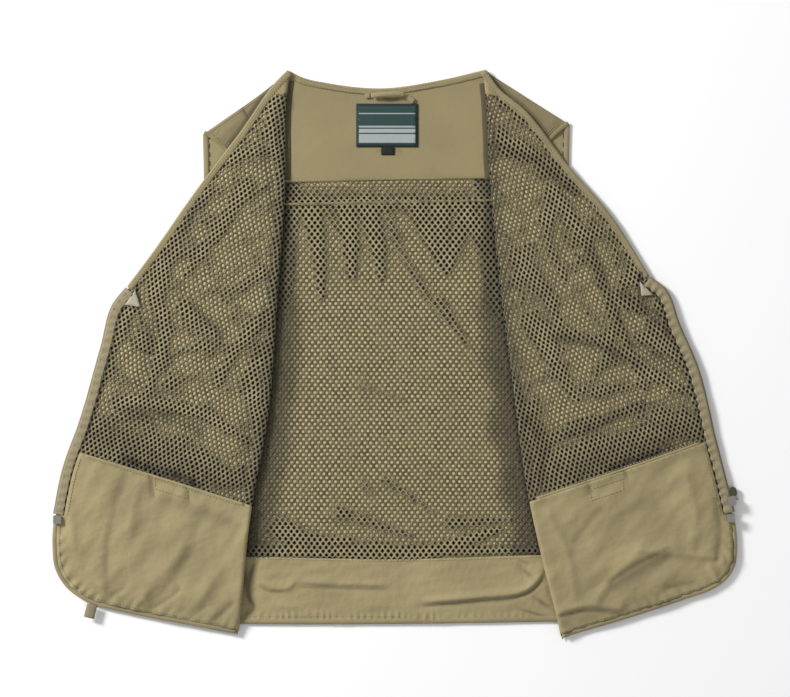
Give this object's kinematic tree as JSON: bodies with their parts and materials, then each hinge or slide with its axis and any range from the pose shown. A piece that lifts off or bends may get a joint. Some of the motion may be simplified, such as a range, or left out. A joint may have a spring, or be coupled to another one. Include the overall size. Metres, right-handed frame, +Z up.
{
  "type": "fishing vest",
  "caption": "Sleeveless multi-pocket fishing vest with mesh lining and front zip, lying open on its back with both fronts folded out to the sides, lining up.",
  "frame": {"origin": "middle of the vest in plan, on the surface that it lies on", "axes": "+Z up from that surface, towards the lining; +Y from the hem to the neck; +X across the vest, so that the front with the pin is on -X and the front with the slider on +X"},
  "size_m": [0.852, 0.7062, 0.0163],
  "materials": {
    "shell_cloth": "matt plain weave",
    "lining_cloth": "matt plain weave, slightly creased",
    "mesh": "matt open knit mesh",
    "binding_tape": "matt folded tape, stitched",
    "zip_cloth": "matt woven tape",
    "zip_coil": "satin coil",
    "zip_metal": "satin, slightly worn",
    "grip_moulding": "matt moulded",
    "label_weave": "dense satin weave",
    "hook_and_loop": "brushed loop pile",
    "webbing": "matt ribbed webbing"
  },
  "bodies": {
    "vest_back": {"back_shell": "shell_cloth", "back_yoke_lining": "lining_cloth", "back_mesh_header": "mesh", "back_mesh_lining": "mesh", "back_hem_facing": "lining_cloth", "back_hem_binding": "binding_tape", "back_neck_binding": "binding_tape", "neck_label": "label_weave", "size_tab": "label_weave", "hanger_loop_ends": "binding_tape", "left_armhole_binding": "binding_tape", "left_side_lining": "lining_cloth", "left_side_shell": "shell_cloth", "right_armhole_binding": "binding_tape", "right_side_lining": "lining_cloth", "right_side_shell": "shell_cloth"},
    "left_front": {"left_front_shell": "shell_cloth", "left_front_lining": "mesh", "left_neck_facing": "lining_cloth", "left_neck_binding": "binding_tape", "left_hem_binding": "binding_tape", "left_zip_tape": "zip_cloth", "left_zip_teeth": "zip_coil", "left_zip_tape_end": "zip_cloth", "left_zip_pin": "zip_metal", "left_inner_pocket": "lining_cloth", "left_pocket_closure": "hook_and_loop", "left_chest_pocket": "shell_cloth", "left_lower_pocket": "shell_cloth", "left_hem_loop": "webbing"},
    "right_front": {"right_front_shell": "shell_cloth", "right_front_lining": "mesh", "right_neck_facing": "lining_cloth", "right_neck_binding": "binding_tape", "right_hem_binding": "binding_tape", "right_zip_tape": "zip_cloth", "right_zip_teeth": "zip_coil", "right_zip_tape_end": "zip_cloth", "right_zip_box": "zip_metal", "right_inner_pocket": "lining_cloth", "right_pocket_closure": "hook_and_loop", "right_chest_pocket": "shell_cloth", "right_lower_pocket": "shell_cloth"},
    "zip_slider": {"zip_slider": "zip_metal"},
    "zip_pull": {"zip_pull": "zip_metal", "zip_pull_grip": "grip_moulding"},
    "hanger_loop": {"hanger_loop": "binding_tape"},
    "left_chest_flap": {"left_chest_pocket_flap": "shell_cloth"},
    "left_lower_flap": {"left_lower_pocket_flap": "shell_cloth"},
    "right_chest_flap": {"right_chest_pocket_flap": "shell_cloth"},
    "right_lower_flap": {"right_lower_pocket_flap": "shell_cloth"}
  },
  "joints": [
    {"name": "left_front_fold", "type": "hinge", "parent": "vest_back", "child": "left_front", "pos_m": [-0.1345, 0.345, 0.0065], "axis": [0.092, 0.9958, 0], "range_deg": [0, 135]},
    {"name": "right_front_fold", "type": "hinge", "parent": "vest_back", "child": "right_front", "pos_m": [0.1105, 0.345, 0.0065], "axis": [0.1305, -0.9914, 0], "range_deg": [0, 135]},
    {"name": "zip_slide", "type": "slide", "parent": "right_front", "child": "zip_slider", "axis": [-0.245, 0.9695, 0], "range_m": [0, 0.155]},
    {"name": "zip_pull_swing", "type": "hinge", "parent": "zip_slider", "child": "zip_pull", "pos_m": [0.42026, -0.18521, 0.0043], "axis": [-0.9695, -0.245, 0], "range_deg": [0, 150]},
    {"name": "hanger_loop_swing", "type": "hinge", "parent": "vest_back", "child": "hanger_loop", "pos_m": [-0.0095, 0.321, 0.0056], "axis": [1, 0, 0], "range_deg": [-50, 50]},
    {"name": "left_chest_flap_hinge", "type": "hinge", "parent": "left_front", "child": "left_chest_flap", "pos_m": [-0.31, 0.03, 0.0006], "axis": [1, 0, 0], "range_deg": [0, 150]},
    {"name": "left_lower_flap_hinge", "type": "hinge", "parent": "left_front", "child": "left_lower_flap", "pos_m": [-0.335, -0.12, 0.0006], "axis": [1, 0, 0], "range_deg": [0, 150]},
    {"name": "right_chest_flap_hinge", "type": "hinge", "parent": "right_front", "child": "right_chest_flap", "pos_m": [0.306, 0.03, 0.0006], "axis": [1, 0, 0], "range_deg": [0, 150]},
    {"name": "right_lower_flap_hinge", "type": "hinge", "parent": "right_front", "child": "right_lower_flap", "pos_m": [0.3325, -0.12, 0.0006], "axis": [1, 0, 0], "range_deg": [0, 150]}
  ]
}
